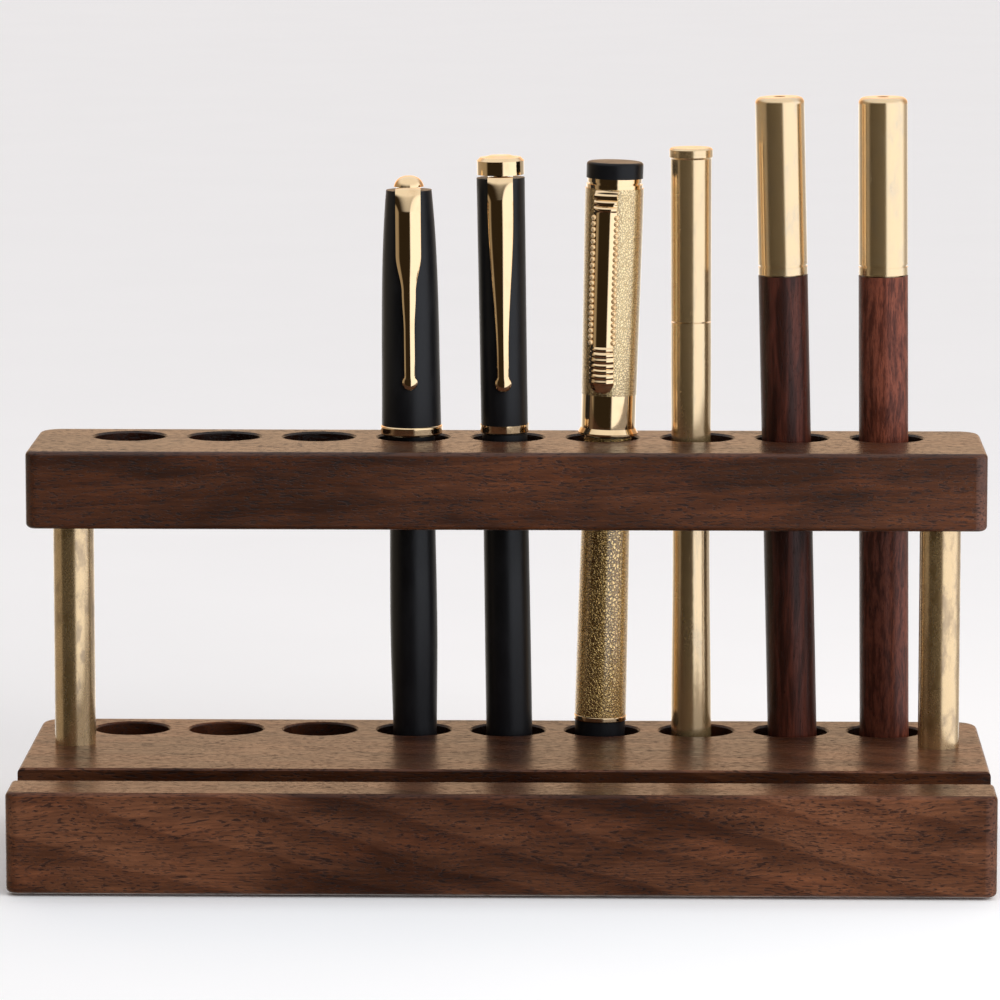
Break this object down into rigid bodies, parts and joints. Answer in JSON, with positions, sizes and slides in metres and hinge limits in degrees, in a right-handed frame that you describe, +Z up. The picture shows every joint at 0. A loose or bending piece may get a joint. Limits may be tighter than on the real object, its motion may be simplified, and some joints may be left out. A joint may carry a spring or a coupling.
{
  "type": "desk pen stand",
  "caption": "Walnut desk stand with a row of holes in a base and a top bar on brass posts, a card slot in front, and capped pens standing in it.",
  "frame": {"origin": "middle of the underside, on the plane the pads stand on", "axes": "+X along the row to the right, +Z up, -Y to the user's side with the card slot"},
  "size_m": [0.2, 0.086, 0.1563],
  "materials": {
    "base_walnut": "oiled walnut, satin, fine dark pores",
    "bar_walnut": "oiled walnut, satin, darker grain",
    "post_brass": "turned and oiled brass with a light patina",
    "screw_steel": "zinc plated",
    "insert_brass": "as turned",
    "pad_rubber": "matt",
    "black_lacquer": "satin black lacquer on metal",
    "gold_trim": "polished gold plate",
    "gold_engraved": "gold plate with a fine crinkled engraving",
    "black_gloss": "polished black resin",
    "plain_brass": "fine turned brass, satin",
    "cap_brass": "polished brass",
    "dark_rosewood": "dark red-brown rosewood, waxed",
    "red_sandalwood": "reddish sandalwood, waxed",
    "grip_black": "black grip",
    "grip_brass": "turned brass",
    "nib_gold": "polished gold-plated steel",
    "feed_black": "moulded black plastic",
    "converter_clear": "clear plastic ink reservoir",
    "refill_body": "plastic ink tube with a metal point"
  },
  "bodies": {
    "stand": {"base_block": "base_walnut", "top_bar": "bar_walnut", "left_post": "post_brass", "right_post": "post_brass", "post_screws": "screw_steel", "post_studs": "screw_steel", "threaded_inserts": "insert_brass", "foot_pads": "pad_rubber"},
    "black_pen": {"black_pen_barrel": "black_lacquer", "black_pen_section": "grip_black", "black_pen_nib": "nib_gold", "black_pen_feed": "feed_black", "black_pen_converter": "converter_clear"},
    "black_pen_cap": {"black_pen_cap": "black_lacquer", "black_pen_lip_ring": "gold_trim", "black_pen_clip": "gold_trim", "black_pen_finial": "gold_trim"},
    "slim_pen": {"slim_pen_barrel": "black_lacquer", "slim_pen_section": "grip_black", "slim_pen_refill": "refill_body"},
    "slim_pen_cap": {"slim_pen_cap": "black_lacquer", "slim_pen_lip_ring": "gold_trim", "slim_pen_clip": "gold_trim", "slim_pen_crown": "gold_trim"},
    "gold_pen": {"gold_pen_barrel": "gold_engraved", "gold_pen_tail_ring": "gold_trim", "gold_pen_tail_cap": "black_gloss", "gold_pen_section": "grip_black", "gold_pen_nib": "nib_gold", "gold_pen_feed": "feed_black", "gold_pen_converter": "converter_clear"},
    "gold_pen_cap": {"gold_pen_cap": "gold_engraved", "gold_pen_cap_band": "gold_trim", "gold_pen_top_rings": "gold_trim", "gold_pen_clip": "gold_trim", "gold_pen_finial": "black_gloss"},
    "brass_pen": {"brass_pen_barrel": "plain_brass", "brass_pen_section": "grip_brass", "brass_pen_refill": "refill_body"},
    "brass_pen_cap": {"brass_pen_cap": "plain_brass"},
    "dark_wood_pen": {"dark_wood_pen_barrel": "dark_rosewood", "dark_wood_pen_section": "grip_brass", "dark_wood_pen_refill": "refill_body"},
    "dark_wood_pen_cap": {"dark_wood_pen_cap": "cap_brass"},
    "red_wood_pen": {"red_wood_pen_barrel": "red_sandalwood", "red_wood_pen_section": "grip_brass", "red_wood_pen_refill": "refill_body"},
    "red_wood_pen_cap": {"red_wood_pen_cap": "cap_brass"}
  },
  "joints": [
    {"name": "black_pen_lift", "type": "slide", "parent": "stand", "child": "black_pen", "axis": [-0.0096, 0, 1], "range_m": [0, 0.09]},
    {"name": "black_pen_cap_pull", "type": "slide", "parent": "black_pen", "child": "black_pen_cap", "axis": [-0.0096, 0, 1], "range_m": [0, 0.055]},
    {"name": "slim_pen_lift", "type": "slide", "parent": "stand", "child": "slim_pen", "axis": [-0.0157, 0, 0.9999], "range_m": [0, 0.09]},
    {"name": "slim_pen_cap_pull", "type": "slide", "parent": "slim_pen", "child": "slim_pen_cap", "axis": [-0.0157, 0, 0.9999], "range_m": [0, 0.055]},
    {"name": "gold_pen_lift", "type": "slide", "parent": "stand", "child": "gold_pen", "axis": [0.0244, 0, 0.9997], "range_m": [0, 0.09]},
    {"name": "gold_pen_cap_pull", "type": "slide", "parent": "gold_pen", "child": "gold_pen_cap", "axis": [0.0244, 0, 0.9997], "range_m": [0, 0.055]},
    {"name": "brass_pen_lift", "type": "slide", "parent": "stand", "child": "brass_pen", "axis": [-0.0044, 0, 1], "range_m": [0, 0.09]},
    {"name": "brass_pen_cap_pull", "type": "slide", "parent": "brass_pen", "child": "brass_pen_cap", "axis": [-0.0044, 0, 1], "range_m": [0, 0.035]},
    {"name": "dark_wood_pen_lift", "type": "slide", "parent": "stand", "child": "dark_wood_pen", "axis": [-0.0262, 0, 0.9997], "range_m": [0, 0.09]},
    {"name": "dark_wood_pen_cap_pull", "type": "slide", "parent": "dark_wood_pen", "child": "dark_wood_pen_cap", "axis": [-0.0262, 0, 0.9997], "range_m": [0, 0.035]},
    {"name": "red_wood_pen_lift", "type": "slide", "parent": "stand", "child": "red_wood_pen", "axis": [-0.0105, 0, 0.9999], "range_m": [0, 0.09]},
    {"name": "red_wood_pen_cap_pull", "type": "slide", "parent": "red_wood_pen", "child": "red_wood_pen_cap", "axis": [-0.0105, 0, 0.9999], "range_m": [0, 0.035]}
  ]
}
